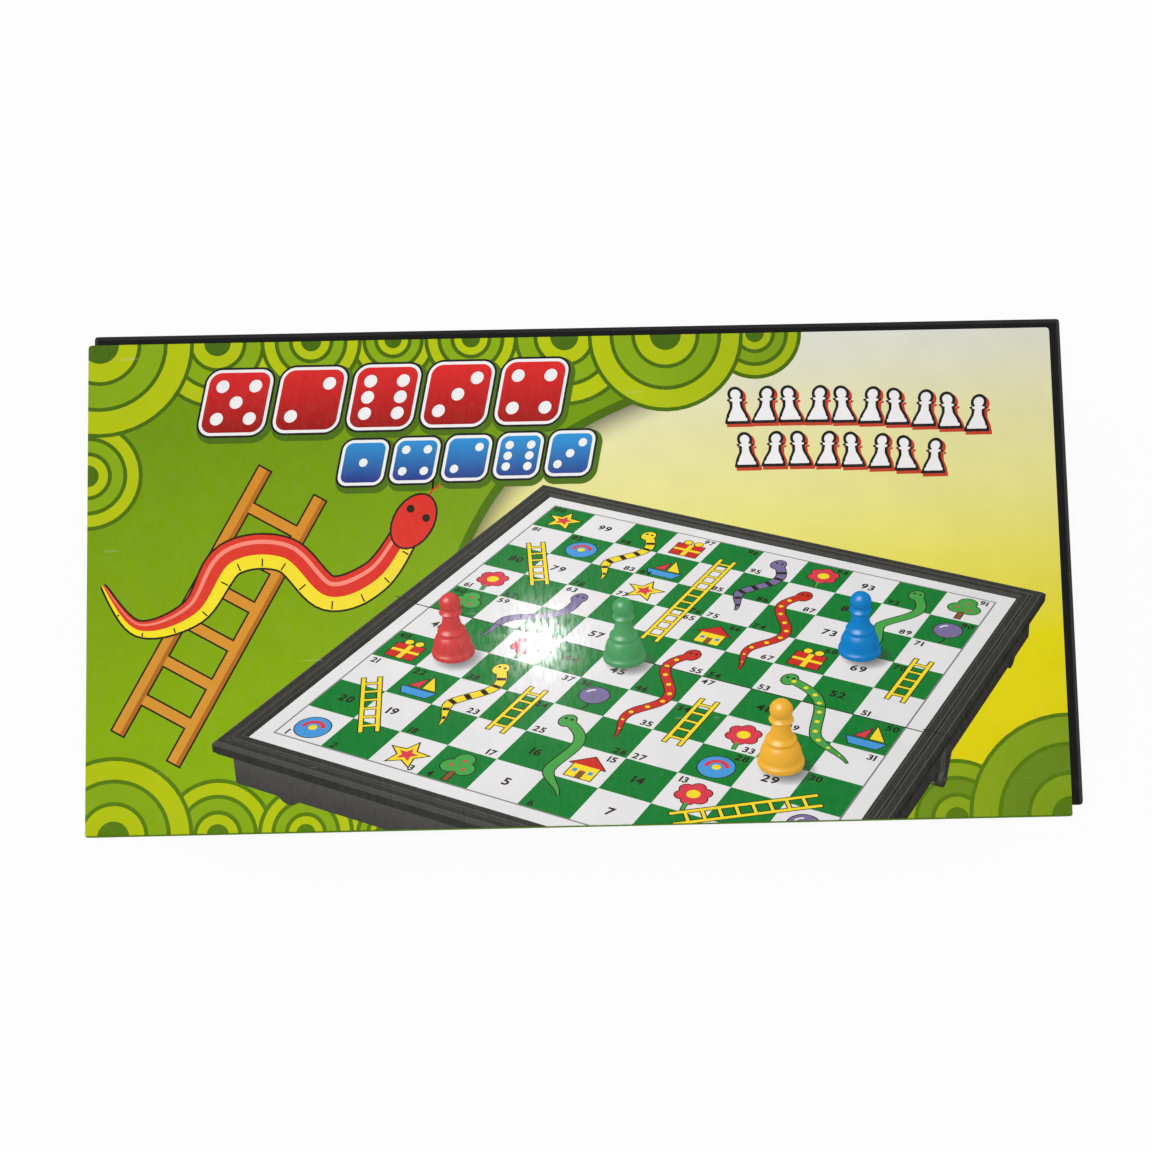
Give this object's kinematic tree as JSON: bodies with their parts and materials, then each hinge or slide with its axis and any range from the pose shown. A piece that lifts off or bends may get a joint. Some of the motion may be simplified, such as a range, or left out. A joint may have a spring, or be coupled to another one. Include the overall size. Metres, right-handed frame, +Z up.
{
  "type": "folding snakes and ladders board",
  "caption": "Closed magnetic folding snakes and ladders board: two hinged half shells with printed playing faces, a printed front card on top, pawns and a die stored inside.",
  "frame": {"origin": "on the surface the case lies on, under the middle of the case and its card", "axes": "+X along the hinge, to the right when the front card is seen upright; +Y from the hinge towards the opening side; +Z up, out of the upper playing face and the front card"},
  "size_m": [0.2506, 0.1282, 0.0408],
  "materials": {
    "black_plastic": "fine satin moulded",
    "play_sheet": "printed, laminated",
    "tinned_steel": "rolled",
    "pin_steel": "turned",
    "card": "printed, gloss laminated",
    "pawn_red": "gloss",
    "pawn_green": "gloss",
    "pawn_blue": "gloss",
    "pawn_yellow": "gloss",
    "ferrite": "ground",
    "die_white": "gloss"
  },
  "bodies": {
    "lower_half": {"lower_shell": "black_plastic", "lower_steel_plate": "tinned_steel", "lower_play_sheet": "play_sheet", "pawn_red": "pawn_red", "pawn_green": "pawn_green", "pawn_blue": "pawn_blue", "pawn_yellow": "pawn_yellow", "magnet_red": "ferrite", "magnet_green": "ferrite", "magnet_blue": "ferrite", "magnet_yellow": "ferrite", "die": "die_white"},
    "upper_half": {"upper_shell": "black_plastic", "upper_steel_plate": "tinned_steel", "upper_play_sheet": "play_sheet", "hinge_pin_left": "pin_steel", "hinge_pin_right": "pin_steel"},
    "card": {"front_card": "card"}
  },
  "joints": [
    {"name": "fold", "type": "hinge", "parent": "lower_half", "child": "upper_half", "pos_m": [0.00035, -0.0609, 0.02], "axis": [1, 0, 0], "range_deg": [0, 180]},
    {"name": "card_lift", "type": "slide", "parent": "upper_half", "child": "card", "axis": [0, 0, 1], "range_m": [0, 0.06]}
  ]
}
